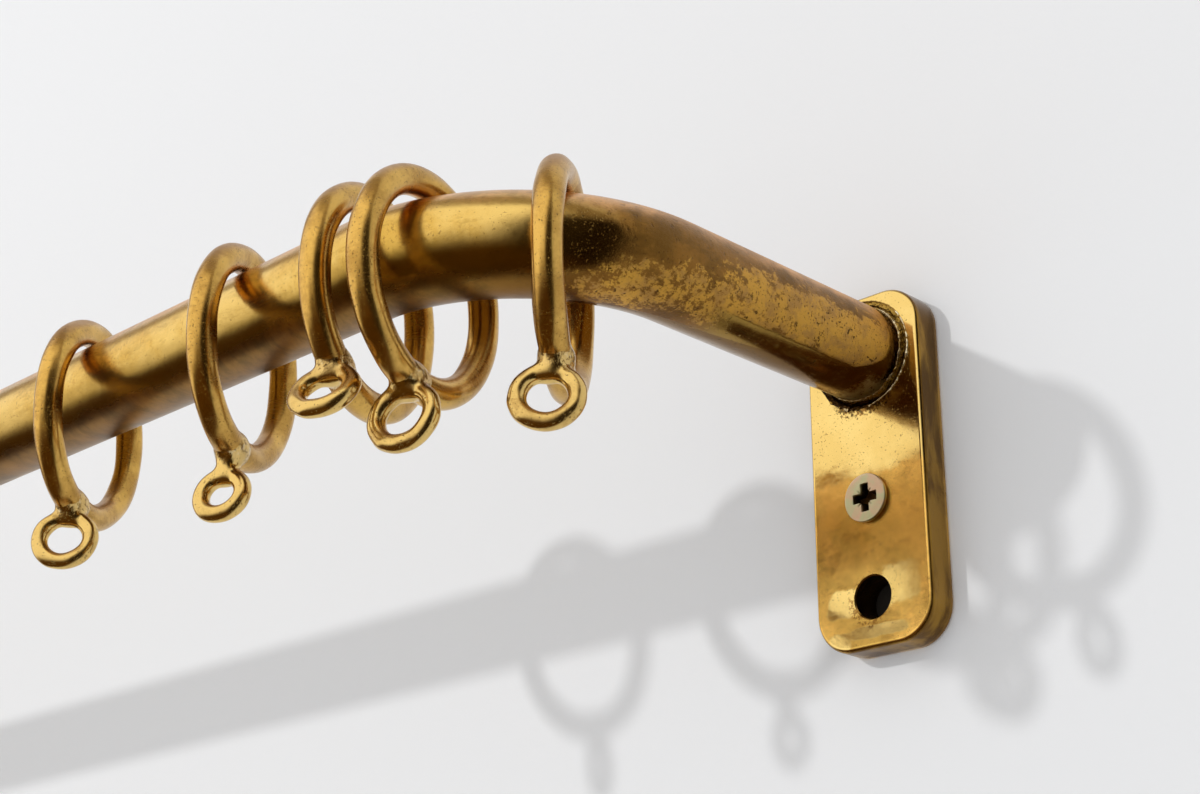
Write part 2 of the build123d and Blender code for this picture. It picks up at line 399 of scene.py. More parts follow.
def pole_brass():
    """The pole: bright along the front, rosy on top, dark below, dull and flaked on the returns."""
    finish = bpy.context.scene.rod_finish
    material, tree, shader = new_material("pole_brass")
    place = tree.object_place()
    ends = place_group(tree, "folded_ends", {})
    folded, facing = ends["Place"], ends["Facing"]
    parts = tree.parts(folded)
    ways = tree.parts(facing)
    rise = ways["Z"]
    broken = tree.noise(tree.stretched(place, (1.0, 0.6, 1.0)), 190.0, 7.0, 0.72, 0.3)
    streaks = tree.noise(tree.stretched(place, (0.35, 1.0, 1.0)), 150.0, 5.0, 0.6, 0.5)
    flake = tree.noise(tree.stretched(place, (1.0, 0.8, 1.0)), 820.0, 6.0, 0.76, 0.1)
    cloud = place_group(tree, "cloudy_tarnish", {"Place": place, "Cloud Size": 0.017, "Cover": 0.50,
                                                 "Raggedness": 0.35, "Edge": 0.14})
    back = tree.torn(parts["Y"], broken, 0.020, -0.098, -0.080)
    droop = tree.math("ARCTAN2", tree.times(rise, -1.0), ways["X"])
    lower = tree.most(tree.minus(droop, 0.10), 0.0)
    tongue = tree.plus(parts["Y"], tree.times(tree.math("POWER", lower, 3.0), 0.016))
    near_plate = tree.torn(tongue, broken, 0.003, -0.0103, -0.0093)
    patch_droop = tree.fade(parts["Y"], -0.080, -0.040, 1.15, 0.38)
    aside = tree.math("ABSOLUTE", tree.minus(droop, patch_droop))
    reach = tree.times(tree.torn(aside, broken, 2.0, 0.95, 0.25),
                      tree.torn(parts["Y"], broken, 0.020, -0.092, -0.078))
    close = tree.fade(parts["Y"], -0.058, -0.030, 0.60, 0.80)
    bare = tree.torn(tree.times(reach, close), flake, 2.4, 0.43, 0.60)
    bare = tree.times(bare, tree.fade(reach, 0.0, 0.25))
    under = tree.torn(droop, broken, 0.10, 0.82, 0.90)
    under = tree.times(under, tree.torn(parts["Y"], broken, 0.02, -0.062, -0.050))
    polished = tree.most(under, near_plate)
    top = tree.torn(rise, streaks, 0.6, 0.30, 0.75)
    below = tree.torn(rise, streaks, 0.7, -0.62, -0.92)
    pits = tree.most(specks(tree, place, 0.00040, 0.004, 0.50),
                     specks(tree, place, 0.0012, 0.010, 0.22))
    pits = tree.times(pits, tree.most(bare, tree.times(back, 0.5)))
    freckles = specks(tree, place, 0.0006, 0.009, 0.26)
    base = tree.blend(tree.plus(0.45, tree.times(cloud["Cloud"], 0.5)), finish.clean, finish.worn)
    base = tree.coat(base, tree.times(cloud["Speckle"], cloud["Cloud"]), 0.40, finish.film)
    lines = tree.noise(tree.stretched(place, (0.3, 1.0, 1.0)), 420.0, 5.0, 0.66, 0.4)
    base = tree.blend(tree.fade(lines, 0.50, 0.72, 0.0, 0.45), base, scaled(finish.worn, 0.55))
    lower_half = tree.torn(rise, streaks, 0.9, -0.05, -0.60)
    base = tree.coat(base, lower_half, 0.75, scaled(finish.worn, 0.50))
    brown = tree.blend(tree.fade(broken, 0.35, 0.65), finish.dark, finish.film)
    base = tree.coat(base, below, 0.85, brown)
    olive = tree.blend(tree.fade(broken, 0.40, 0.62), finish.film, scaled(finish.film, 0.62))
    base = tree.coat(base, back, 0.95, olive)
    rosy = tree.blend(tree.fade(broken, 0.40, 0.62), scaled(finish.rosy, 2.0),
                      scaled(finish.rosy, 1.25))
    base = tree.coat(base, top, 0.85, rosy)
    blotch = tree.fade(tree.noise(place, 240.0, 6.0, 0.70, 0.3), 0.42, 0.64)
    rubbed = tree.blend(blotch, scaled(finish.rubbed, 1.12),
                        tuple(0.45 * (a + b) for a, b in zip(finish.rubbed, finish.rosy)))
    base = tree.coat(base, bare, 0.9, rubbed)
    base = tree.coat(base, polished, 0.92, finish.burnished)
    base = tree.coat(base, near_plate, 0.75, scaled(finish.film, 0.7))
    base = tree.coat(base, freckles, 0.4, finish.dark)
    base = tree.coat(base, pits, 0.85, finish.deep_tarnish_and_shade)
    flash = tree.times(tree.torn(parts["Y"], broken, 0.012, -0.0145, -0.0110),
                      tree.torn(rise, broken, 0.4, -0.72, -0.86))
    smear = tree.blend(tree.fade(flake, 0.38, 0.52), finish.film, (0.62, 0.50, 0.22))
    base = tree.coat(base, flash, 0.85, smear)
    marks = place_group(tree, "rubbing_marks", {"Place": place, "Along": (60.0, 500.0, 500.0)})
    rough = tree.plus(finish.polish, tree.times(cloud["Cloud"], 0.04))
    rough = tree.plus(rough, tree.times(marks["Haze"], 0.04))
    matt = tree.torn(parts["Y"], broken, 0.012, -0.084, -0.070)
    matt = tree.most(tree.times(tree.most(top, below), 0.6), matt)
    dull = tree.times(matt, tree.without(polished))
    rough = tree.plus(rough, tree.times(flash, 0.35))
    rough = tree.plus(rough, tree.times(dull, finish.dullness), clamp=True)
    wave = place_group(tree, "hand_polish", {"Place": place, "Wave": 0.016})["Height"]
    metal(tree, shader, base, rough, [(wave, 0.00030), (marks["Marks"], 0.000010),
                                      (tree.without(pits), 0.00006),
                                      (tree.times(flake, tree.times(back, dull)), 0.00014)])
    return material


def plate_brass():
    """A wall plate: a bright face with a cloudy lower half, brown sides and rubbed corners."""
    finish = bpy.context.scene.rod_finish
    material, tree, shader = new_material("plate_brass")
    place = tree.object_place()
    ends = place_group(tree, "folded_ends", {})
    folded, facing = ends["Place"], ends["Facing"]
    parts = tree.parts(folded)
    front = tree.fade(tree.vector("DOT_PRODUCT", facing, (0.0, -1.0, 0.0)), 0.55, 0.9)
    cloud = place_group(tree, "cloudy_tarnish", {"Place": place, "Cloud Size": 0.011, "Cover": 0.5,
                                                 "Raggedness": 0.3, "Edge": 0.16})
    torn = tree.noise(place, 300.0, 4.0, 0.6)
    stripes = tree.noise(tree.stretched(place, (1.0, 1.0, 0.30)), 160.0, 5.0, 0.6, 0.4)
    low_half = tree.torn(parts["Z"], torn, 0.006, 0.0256, 0.0236)
    patches = [((PLATE_CENTRE + 0.0064, PLATE_FACE, 0.0016), (0.0044, 0.01, 0.0040)),
               ((PLATE_CENTRE - 0.0072, PLATE_FACE, -0.0002), (0.0036, 0.01, 0.0028)),
               ((PLATE_CENTRE - 0.0082, PLATE_FACE, -0.0076), (0.0026, 0.01, 0.0018)),
               ((PLATE_CENTRE + 0.0010, PLATE_FACE, -0.0066), (0.0066, 0.01, 0.0012))]
    bare = 0.0
    for centre, reach in patches:
        bare = tree.most(bare, patch(tree, folded, centre, reach, 0.8, 0.12))
    film = tree.times(low_half, tree.without(bare))
    pits = specks(tree, place, 0.0004, 0.006, 0.22)
    base = tree.blend(tree.times(cloud["Cloud"], 0.28), finish.clean, finish.worn)
    film_colour = tree.blend(cloud["Cloud"], finish.worn, finish.orange)
    base = tree.coat(base, film, 0.8, film_colour)
    smudge = tree.noise(tree.stretched(place, (0.6, 1.0, 1.0)), 230.0, 6.0, 0.68)
    smudge = tree.times(tree.fade(smudge, 0.48, 0.70), film)
    base = tree.coat(base, smudge, 0.45, finish.film)
    sides = tree.blend(tree.fade(stripes, 0.38, 0.58), scaled(finish.rubbed, 0.65), finish.dark)
    base = tree.coat(base, tree.without(front), 0.98, sides)
    base = tree.coat(base, pits, 0.25, finish.deep_tarnish_and_shade)
    from_hole = tree.vector("SUBTRACT", folded, (PLATE_CENTRE - 0.0005, PLATE_FACE, -0.0008))
    stain = tree.torn(tree.vector("LENGTH", from_hole), torn, 0.0036, 0.0056, 0.0044)
    stain = tree.times(stain, tree.fade(tree.noise(place, 1100.0, 4.0, 0.65), 0.46, 0.58))
    base = tree.coat(base, stain, 0.8, finish.film)
    from_pole = tree.vector("SUBTRACT", folded, (PLATE_CENTRE, 0.0, POLE_HEIGHT))
    from_pole = tree.vector("MULTIPLY", from_pole, (1.0, 0.0, 1.0))
    grain = tree.noise(place, 800.0, 5.0, 0.7)
    away = tree.vector("LENGTH", from_pole)
    # The groove round the pole's foot is painted darkest, the more so further in.
    groove = tree.torn(away, grain, 0.0012, 0.01130, 0.01105)
    groove = tree.times(groove, tree.fade(parts["Y"], PLATE_FACE - 0.0001, PLATE_FACE + 0.0002,
                                          0.75, 1.0))
    groove = tree.times(groove, tree.fade(parts["Y"], PLATE_FACE + 0.0039, PLATE_FACE + 0.0037))
    base = tree.blend(groove, base, finish.deep_tarnish_and_shade)
    foot = tree.math("DIVIDE", tree.parts(from_pole)["Z"], away)
    foot = tree.fade(foot, -0.72, -0.90)
    bristle = tree.noise(place, 1500.0, 4.0, 0.75)
    away = tree.plus(away, tree.times(foot, tree.times(tree.minus(bristle, 0.56), 0.0085)))
    fringe = tree.times(tree.times(foot, front), tree.fade(away, 0.01200, 0.01150))
    dross = tree.blend(tree.fade(grain, 0.45, 0.60), finish.deep_tarnish_and_shade, finish.film)
    base = tree.coat(base, fringe, 0.9, dross)
    marks = place_group(tree, "rubbing_marks", {"Place": place, "Along": (300.0, 300.0, 60.0)})
    rough = tree.plus(finish.polish - 0.05, tree.times(film, 0.10))
    rough = tree.plus(rough, tree.times(marks["Haze"], 0.05))
    rough = tree.plus(rough, tree.times(tree.without(front), 0.08), clamp=True)
    wave = place_group(tree, "hand_polish", {"Place": place, "Wave": 0.013})["Height"]
    metal(tree, shader, base, rough, [(wave, 0.00022), (marks["Marks"], 0.000006),
                                      (tree.without(pits), 0.00003)])
    return material


def wire_brass(name, brass, cover, marks_along, satin):
    """The rings' brass: ground across the wire, worn, dark in its pits and pale at its braze."""
    finish = bpy.context.scene.rod_finish
    material, tree, shader = new_material(name)
    place = tree.object_place()
    wire = tree.noted("wire", "Vector")
    joint = tree.noted("joint")
    rise = tree.parts(tree.add("TexCoord").outputs["Normal"])["Z"]
    cloud = place_group(tree, "cloudy_tarnish", {"Place": place, "Cloud Size": 0.009,
                                                 "Cover": cover, "Raggedness": 0.4, "Edge": 0.16})
    marks = place_group(tree, "rubbing_marks", {"Place": wire, "Along": marks_along})
    pits = specks(tree, place, 0.0004, 0.005, 0.30)
    broken = tree.noise(place, 260.0, 5.0, 0.65)
    dulled = tuple(0.5 * (b + f) for b, f in zip(brass, finish.film))
    base = tree.blend(cloud["Cloud"], brass, dulled)
    base = tree.coat(base, tree.times(cloud["Speckle"], cloud["Cloud"]), 0.35, finish.film)
    top = tree.torn(rise, broken, 0.6, 0.35, 0.80)
    base = tree.coat(base, top, 0.8, finish.rosy)
    base = tree.coat(base, pits, 0.6, finish.deep_tarnish_and_shade)
    pale = tree.blend(0.30, finish.worn, finish.braze)
    base = tree.coat(base, tree.fade(joint, 0.10, 0.60), 0.35, pale)
    splash = tree.noise(place, 800.0, 4.0, 0.65)
    base = tree.coat(base, tree.torn(joint, splash, 1.3, 0.84, 1.02), 0.55, finish.braze)
    soot = tree.noise(place, 1300.0, 4.0, 0.7)
    base = tree.coat(base, tree.torn(joint, soot, 2.4, 0.86, 1.04), 0.85, finish.dark)
    rough = tree.plus(finish.polish + satin, tree.times(cloud["Cloud"], 0.06))
    rough = tree.plus(rough, tree.times(top, 0.12))
    rough = tree.plus(rough, tree.times(marks["Haze"], 0.05), clamp=True)
    wave = place_group(tree, "hand_polish", {"Place": place, "Wave": 0.007, "Ding": 0.0020})
    metal(tree, shader, base, rough, [(wave["Height"], 0.00012), (marks["Marks"], 0.000006),
                                      (tree.without(pits), 0.00005),
                                      (tree.times(splash, joint), 0.00020)])
    return material


def braze_metal():
    """Filler metal: pale where it was scraped and where a highlight is painted on, black in its
    hollows.
    """
    finish = bpy.context.scene.rod_finish
    material, tree, shader = new_material("braze_metal")
    place = tree.object_place()
    joint = tree.noted("joint")
    grain = tree.noise(place, 900.0, 5.0, 0.7)
    tarnished = tree.torn(joint, grain, 0.7, 0.25, 0.55)
    base = tree.blend(tarnished, finish.braze, scaled(finish.worn, 0.60))
    base = tree.blend(tree.torn(joint, grain, 0.7, 0.60, 0.84), base, finish.deep_tarnish_and_shade)
    rough = tree.plus(0.12, tree.times(grain, 0.24), clamp=True)
    lumpy = tree.noise(place, 450.0, 3.0, 0.6)
    metal(tree, shader, base, rough, [(lumpy, 0.00045), (grain, 0.00012)])
    return material


def screw_zinc():
    """Yellow passivated zinc, with its pink and green sheen, and painted shade in its cross recess.
    """
    finish = bpy.context.scene.rod_finish
    material, tree, shader = new_material("screw_zinc")
    place = tree.object_place()
    sheen = tree.noise(place, 260.0, 3.0, 0.5, 0.6)
    pink, green = (0.80, 0.52, 0.40), (0.50, 0.66, 0.40)
    base = tree.blend(tree.fade(sheen, 0.40, 0.62), green, pink)
    base = tree.blend(0.55, base, finish.zinc)
    grime = tree.noise(place, 1400.0, 4.0, 0.7)
    # The 'joint' values of a screw are the painted shade of its cross recess.
    hollow = tree.noted("joint")
    base = tree.blend(hollow, base, finish.deep_tarnish_and_shade)
    rough = tree.plus(0.26, tree.times(grime, 0.14), clamp=True)
    metal(tree, shader, base, rough, [(grime, 0.00003)])
    return material


def plain_paint(name, paint):
    """Matt paint with a faint roller texture, and painted shade that darkens it a little towards
    the lower right.
    """
    material, tree, shader = new_material(name)
    place = tree.object_place()
    parts = tree.parts(place)
    # Painted shade: the fall-off of the light, laid into the paint as a darkening towards the lower
    # right.
    aside = tree.fade(tree.minus(parts["X"], parts["Z"]), 0.20, 1.10)
    shade = tree.plus(tree.times(tree.noise(place, 3.0, 2.0, 0.5), 0.10), aside)
    tree.feed(shader.inputs["Base Color"], tree.blend(shade, paint, scaled(paint, 0.86)))
    shader.inputs["Roughness"].default_value = 0.9
    shader.inputs["Specular IOR Level"].default_value = 0.1
    bump = tree.add("Bump", {"Height": tree.noise(place, 700.0, 2.0), "Distance": 0.00003})
    tree.feed(shader.inputs["Normal"], bump.outputs[0])
    hide_from_behind(tree, shader, TOUCHING)
    return material


def hide_from_behind(tree, shader, closest):
    """Clears a sheet where it is seen from behind, or reflected from nearer than closest."""
    clear = tree.add("BsdfTransparent")
    behind = tree.add("NewGeometry").outputs["Backfacing"]
    ray = tree.add("LightPath").outputs
    touching = tree.times(ray["Is Glossy Ray"], tree.math("LESS_THAN", ray["Ray Length"], closest))
    hidden = tree.most(behind, touching)
    mixed = tree.add("MixShader", {0: hidden, 1: shader.outputs[0], 2: clear.outputs[0]})
    output = next(n for n in tree.tree.nodes if n.type == "OUTPUT_MATERIAL")
    tree.feed(output.inputs["Surface"], mixed.outputs[0])


def studio_surround():
    """The room that the metal reflects: a soft panel at the upper left, dark below and right."""
    stage = bpy.context.scene.rod_stage
    material = bpy.data.materials.new("studio_surround")
    material.use_nodes = True
    material.node_tree.nodes.clear()
    tree = Tree(material.node_tree)
    way = tree.parts(tree.vector("NORMALIZE", tree.object_place()))
    ahead = tree.fade(way["X"], -0.45, 0.40)
    edge_low = tree.plus(-0.42, tree.times(ahead, -0.12))
    edge_high = tree.plus(-0.14, tree.times(ahead, 0.70))
    panel = tree.times(tree.fade(way["Z"], edge_low, edge_high), tree.fade(way["Z"], 0.97, 0.84))
    panel = tree.times(panel, tree.fade(way["X"], 0.74, 0.42))
    panel = tree.times(panel, tree.fade(way["Y"], -0.16, -0.34))
    right = tree.times(tree.fade(way["X"], 0.45, 0.80), tree.fade(way["Z"], 0.90, 0.50))
    room = tree.blend(tree.fade(way["Z"], -0.35, 0.30), tuple(stage.low_colour),
                      tuple(stage.high_colour))
    room = tree.blend(right, room, tuple(stage.far_colour))
    light = tree.add("Emission", {"Color": tree.blend(panel, room, tuple(stage.panel_colour))})
    tree.feed(tree.add("OutputMaterial").inputs["Surface"], light.outputs[0])
    return material


def mesh_object(name, points, faces, smooth=True):
    """A new mesh object from arrays of points and faces."""
    mesh = bpy.data.meshes.new(name)
    mesh.from_pydata(np.asarray(points).tolist(), [], faces)
    mesh.validate()
    mesh.polygons.foreach_set("use_smooth", [smooth] * len(mesh.polygons))
    mesh.update()
    piece = bpy.data.objects.new(name, mesh)
    bpy.context.scene.collection.objects.link(piece)
    return piece


def net(rows, columns, closed=True):
    """Quads between rows of points, each row a ring; closed joins the last row to the first."""
    starts = rows if closed else rows - 1
    row, column = np.meshgrid(np.arange(starts), np.arange(columns), indexing="ij")
    following, beside = (row + 1) % rows, (column + 1) % columns
    corners = (row * columns + column, row * columns + beside,
               following * columns + beside, following * columns + column)
    return np.stack(corners, axis=-1).reshape(-1, 4).tolist()


def note(piece, name, values):
    """Keeps a number or a vector for each point of a piece, for its material."""
    values = np.asarray(values, np.float32)
    kind = "FLOAT" if values.ndim == 1 else "FLOAT_VECTOR"
    attribute = piece.data.attributes.new(name, kind, "POINT")
    attribute.data.foreach_set("value" if kind == "FLOAT" else "vector", values.ravel())


def lumps(points, size, seed, waves=7):
    """Smooth random lumps of about that size, between about -1 and 1."""
    random = np.random.default_rng(seed)
    total = np.zeros(points.shape[:-1])
    for _ in range(waves):
        way = random.normal(size=3)
        way *= 2 * math.pi / size * random.uniform(0.6, 1.4) / np.linalg.norm(way)
        total += np.sin(points @ way + random.uniform(0, 2 * math.pi))
    return total / math.sqrt(waves)


def smooth_least(a, b, spread):
    """The lesser of two fields, with a fillet of that spread between them."""
    share_of_a = np.clip(0.5 + 0.5 * (b - a) / spread, 0, 1)
    return b + (a - b) * share_of_a - spread * share_of_a * (1 - share_of_a)


def torus_field(points, centre, axis, radius, wire):
    """Signed distance to a ring of round wire."""
    offset = points - centre
    height = offset @ axis
    flat = np.linalg.norm(offset - height[..., None] * axis, axis=-1)
    return np.hypot(flat - radius, height) - wire


def cone_field(points, start, end, start_radius, end_radius):
    """Roughly the signed distance to a round-ended cone."""
    way = end - start
    share_of_way = np.clip((points - start) @ way / (way @ way), 0, 1)
    middle = start + share_of_way[..., None] * way
    radius = start_radius + share_of_way * (end_radius - start_radius)
    return np.linalg.norm(points - middle, axis=-1) - radius


def skin(field, axes, rounds=2):
    """Points and quads of the surface where a field on a grid is zero, a little smoothed."""
    total = np.zeros((*(np.array(field.shape) + 1), 3))
    hits = np.zeros(total.shape[:3])
    grid = np.stack(np.meshgrid(*axes, indexing="ij"), axis=-1)
    quads = []
    for axis in range(3):
        count = field.shape[axis]
        near = np.take(field, range(count - 1), axis)
        far = np.take(field, range(1, count), axis)
        cut = (near < 0) != (far < 0)
        low = np.argwhere(cut)
        high = low.copy()
        high[:, axis] += 1
        part = (near[cut] / (near[cut] - far[cut]))[:, None]
        crossing = grid[tuple(low.T)] * (1 - part) + grid[tuple(high.T)] * part
        corners = []
        for first, second in ((0, 0), (-1, 0), (-1, -1), (0, -1)):
            cell = low + 1
            cell[:, (axis + 1) % 3] += first
            cell[:, (axis + 2) % 3] += second
            np.add.at(total, tuple(cell.T), crossing)
            np.add.at(hits, tuple(cell.T), 1)
            corners.append(cell)
        quads.append((corners, near[cut] < 0))
    used = hits > 0
    index = np.full(hits.shape, -1)
    index[used] = np.arange(used.sum())
    points = total[used] / hits[used][:, None]
    faces = []
    for corners, outward in quads:
        ring = np.stack([index[tuple(cell.T)] for cell in corners], axis=1)
        faces.append(np.where(outward[:, None], ring, ring[:, ::-1]))
    faces = np.concatenate(faces)
    for _ in range(rounds):
        near_sum = np.zeros_like(points)
        near_count = np.zeros(len(points))
        for step in (1, 3):
            np.add.at(near_sum, faces.ravel(), points[np.roll(faces, step, axis=1).ravel()])
            np.add.at(near_count, faces.ravel(), 1)
        points = 0.5 * points + 0.5 * near_sum / near_count[:, None]
    return points, faces.tolist()


def ring_frame(side, number):
    """Places, directions and sizes of a ring, read from its solids and the mount of its eye."""
    name = f"{side}_ring_{number}"
    low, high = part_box(f"{name}_hoop")
    centre = np.array((low + high) / 2)
    points = np.array([v.co for v in frame["nodes"][f"{name}_hoop"].data.vertices]) - centre
    axis = np.linalg.svd(points[::7], full_matrices=False)[2][2]
    axis = axis if axis[0] >= 0 else -axis
    height = points @ axis
    flat = np.linalg.norm(points - height[:, None] * axis, axis=1)
    hoop_radius, hoop_wire = (flat.max() + flat.min()) / 2, (flat.max() - flat.min()) / 2
    mount = MOUNTS[f"{name}_eye_hole"]
    eye_centre, eye_axis = np.array(mount["pos_m"]), np.array(mount["axis"])
    eye_points = np.array([v.co for v in frame["nodes"][f"{name}_eye"].data.vertices]) - eye_centre
    eye_height = eye_points @ eye_axis
    eye_flat = np.linalg.norm(eye_points - eye_height[:, None] * eye_axis, axis=1)
    below = (eye_points @ (eye_centre - centre)) > 0
    eye_wire = (eye_flat[below].max() - eye_flat[below].min()) / 2
    eye_radius = (eye_flat[below].max() + eye_flat[below].min()) / 2
    down = eye_centre - centre
    down -= axis * (down @ axis)
    down /= np.linalg.norm(down)
    return {"centre": centre, "axis": axis, "radius": hoop_radius, "wire": hoop_wire, "down": down,
            "eye_centre": eye_centre, "eye_axis": eye_axis / np.linalg.norm(eye_axis),
            "eye_radius": eye_radius, "eye_wire": eye_wire}


def build_pole():
    """The tube, swept from the right-hand plate round both bends to the left-hand plate."""
    sizes = bpy.context.scene.rod_sizes
    bend = PLATE_CENTRE - BEND_CENTRE[0]
    end = POLE_HIGH.y
    straight = np.array([end, end - 0.2 * MM, *np.linspace(end - 1 * MM, BEND_CENTRE[1], 12)])
    leg = np.stack([np.full(len(straight), PLATE_CENTRE), straight], axis=-1)
    leg_way = np.tile([0.0, -1.0], (len(straight), 1))
    turn = np.linspace(0, math.pi / 2, sizes.bend_steps + 1)[1:]
    arc = np.stack([BEND_CENTRE[0] + bend * np.cos(turn), BEND_CENTRE[1] - bend * np.sin(turn)],
                   axis=-1)
    arc_way = np.stack([-np.sin(turn), -np.cos(turn)], axis=-1)
    run = np.linspace(BEND_CENTRE[0], 0, 25)[1:]
    middle = np.stack([run, np.full(len(run), BEND_CENTRE[1] - bend)], axis=-1)
    middle_way = np.tile([-1.0, 0.0], (len(run), 1))
    half = np.concatenate([leg, arc, middle])
    half_way = np.concatenate([leg_way, arc_way, middle_way])
    route = np.concatenate([half, half[-2::-1] * (-1, 1)])
    way = np.concatenate([half_way, half_way[-2::-1] * (1, -1)])
    solid = np.array([v.co for v in frame["nodes"]["pole"].data.vertices])
    at_end = solid[np.abs(solid[:, 1] - end) < 1e-6] - (0, end, POLE_HEIGHT)
    at_end[:, 0] = np.abs(at_end[:, 0]) - PLATE_CENTRE
    bore = np.linalg.norm(at_end, axis=1).min()
    angle = np.linspace(0, 2 * math.pi, sizes.pole_sides, endpoint=False)
    sideways = np.stack([-way[:, 1], way[:, 0], 0 * way[:, 0]], axis=-1)
    spoke = (np.cos(angle)[None, :, None] * sideways[:, None]
             + np.sin(angle)[None, :, None] * np.array([0, 0, 1.0]))
    centre = np.concatenate([route, np.full((len(route), 1), POLE_HEIGHT)], axis=1)[:, None]
    rows = np.concatenate([centre + POLE_RADIUS * spoke, (centre + bore * spoke)[::-1]])
    return mesh_object("bent_pole", rows.reshape(-1, 3), net(*rows.shape[:2]))


def build_hoop(side, number, ring):
    """A hoop of round wire, a little uneven and ground along its length."""
    sizes = bpy.context.scene.rod_sizes
    down = ring["down"]
    across = np.cross(down, ring["axis"])
    round_angle = np.linspace(0, 2 * math.pi, sizes.hoop_segments, endpoint=False)
    wire_angle = np.linspace(0, 2 * math.pi, sizes.hoop_sides, endpoint=False)
    u, v = np.meshgrid(round_angle, wire_angle, indexing="ij")
    spoke = np.cos(u)[..., None] * down + np.sin(u)[..., None] * across
    outward = np.cos(v)[..., None] * spoke + np.sin(v)[..., None] * ring["axis"]
    middle = ring["centre"] + ring["radius"] * spoke
    seed = 10 * number + (SIDES[side] > 0)
    stray = 0.5 + 0.5 * np.clip(lumps(middle + 0.6 * ring["wire"] * outward, 0.011, seed), -1, 1)
    flat_turn = 0.35 * lumps(middle, 0.03, seed + 3) + seed
    flats = (0.5 + 0.5 * np.cos(3 * (v - flat_turn))) ** 4
    wire = ring["wire"] - sizes.hoop_unevenness * stray - sizes.hoop_flats * flats * stray
    points = (middle + wire[..., None] * outward).reshape(-1, 3)
    faces = net(sizes.hoop_segments, sizes.hoop_sides)
    piece = mesh_object(f"{side}_ring_{number}_round_hoop", points, faces)
    along = ring["radius"] * u
    around = ring["wire"] * np.abs(v - math.pi)
    note(piece, "wire", np.stack([along, around, np.zeros_like(u)], axis=-1).reshape(-1, 3))
    joint_at = ring["centre"] + down * (ring["radius"] + ring["wire"])
    away = np.linalg.norm(points - joint_at, axis=1)
    note(piece, "joint", 0.85 * np.exp(-(away / (2.0 * MM)) ** 2))
    return piece


def build_eye(side, number, ring):
    """An eye of bent wire whose ends meet under the hoop, with the neck of braze that holds it."""
    sizes = bpy.context.scene.rod_sizes
    down = ring["down"]
    out = down - ring["eye_axis"] * (down @ ring["eye_axis"])
    out /= np.linalg.norm(out)
    neck_low = ring["eye_centre"] - out * ring["eye_radius"]
    neck_high = ring["centre"] + down * ring["radius"]
    reach = ring["eye_radius"] + ring["eye_wire"] + 1.0 * MM
    foot = sizes.neck_high / 2 + sizes.braze_spread + 0.5 * MM
    low = np.minimum(ring["eye_centre"] - reach, neck_high - foot - 0.3 * MM)
    high = np.maximum(ring["eye_centre"] + reach, neck_high + foot + 0.3 * MM)
    axes = [np.arange(low[i], high[i], sizes.eye_step) for i in range(3)]
    grid = np.stack(np.meshgrid(*axes, indexing="ij"), axis=-1)
    seed = 100 + 10 * number + (SIDES[side] > 0)
    eye = torus_field(grid, ring["eye_centre"], ring["eye_axis"], ring["eye_radius"],
                      ring["eye_wire"])
    eye += 0.05 * MM * (lumps(grid, 0.004, seed) + 1)
    hoop = torus_field(grid, ring["centre"], ring["axis"], ring["radius"], ring["wire"])
    neck = cone_field(grid, neck_low, neck_high, sizes.neck_low / 2, sizes.neck_high / 2)
    offset = grid - ring["eye_centre"]
    rise = -(offset @ out)
    sideways = offset @ np.cross(ring["eye_axis"], out)
    opening = ring["eye_radius"] + 0.75 * ring["eye_wire"] - rise
    sideways += 0.1 * MM * lumps(grid, 0.003, seed + 2)
    notch = np.abs(sideways) - sizes.eye_notch * opening / (2.4 * MM)
    eye = np.where(rise > 0, np.maximum(eye, -notch), eye)
    fused = smooth_least(eye, neck, 0.5 * sizes.braze_spread)
    fused = smooth_least(fused, hoop + 0.30 * MM, sizes.braze_spread)
    close = np.exp(-((np.clip(hoop, 0, None) + np.clip(neck, 0, None)) / (1.0 * MM)) ** 2)
    fused += 0.07 * MM * lumps(grid, 0.0016, seed + 1) * close
    beyond = np.minimum(np.linalg.norm(grid - neck_high, axis=-1) - foot, -hoop)
    field = np.maximum(np.maximum(fused, -(hoop + 0.60 * MM)), beyond)
    points, faces = skin(field, axes)
    piece = mesh_object(f"{side}_ring_{number}_wire_eye", points, faces)
    offset = points - ring["eye_centre"]
    turn = np.arctan2(offset @ np.cross(ring["eye_axis"], out), offset @ out)
    height = offset @ ring["eye_axis"]
    note(piece, "wire", np.stack([ring["eye_radius"] * turn, height, 0 * turn], axis=-1))
    gap = torus_field(points, ring["centre"], ring["axis"], ring["radius"], ring["wire"])
    note(piece, "joint", 0.8 * np.exp(-(np.clip(gap, 0, None) / (1.3 * MM)) ** 2))
    return piece


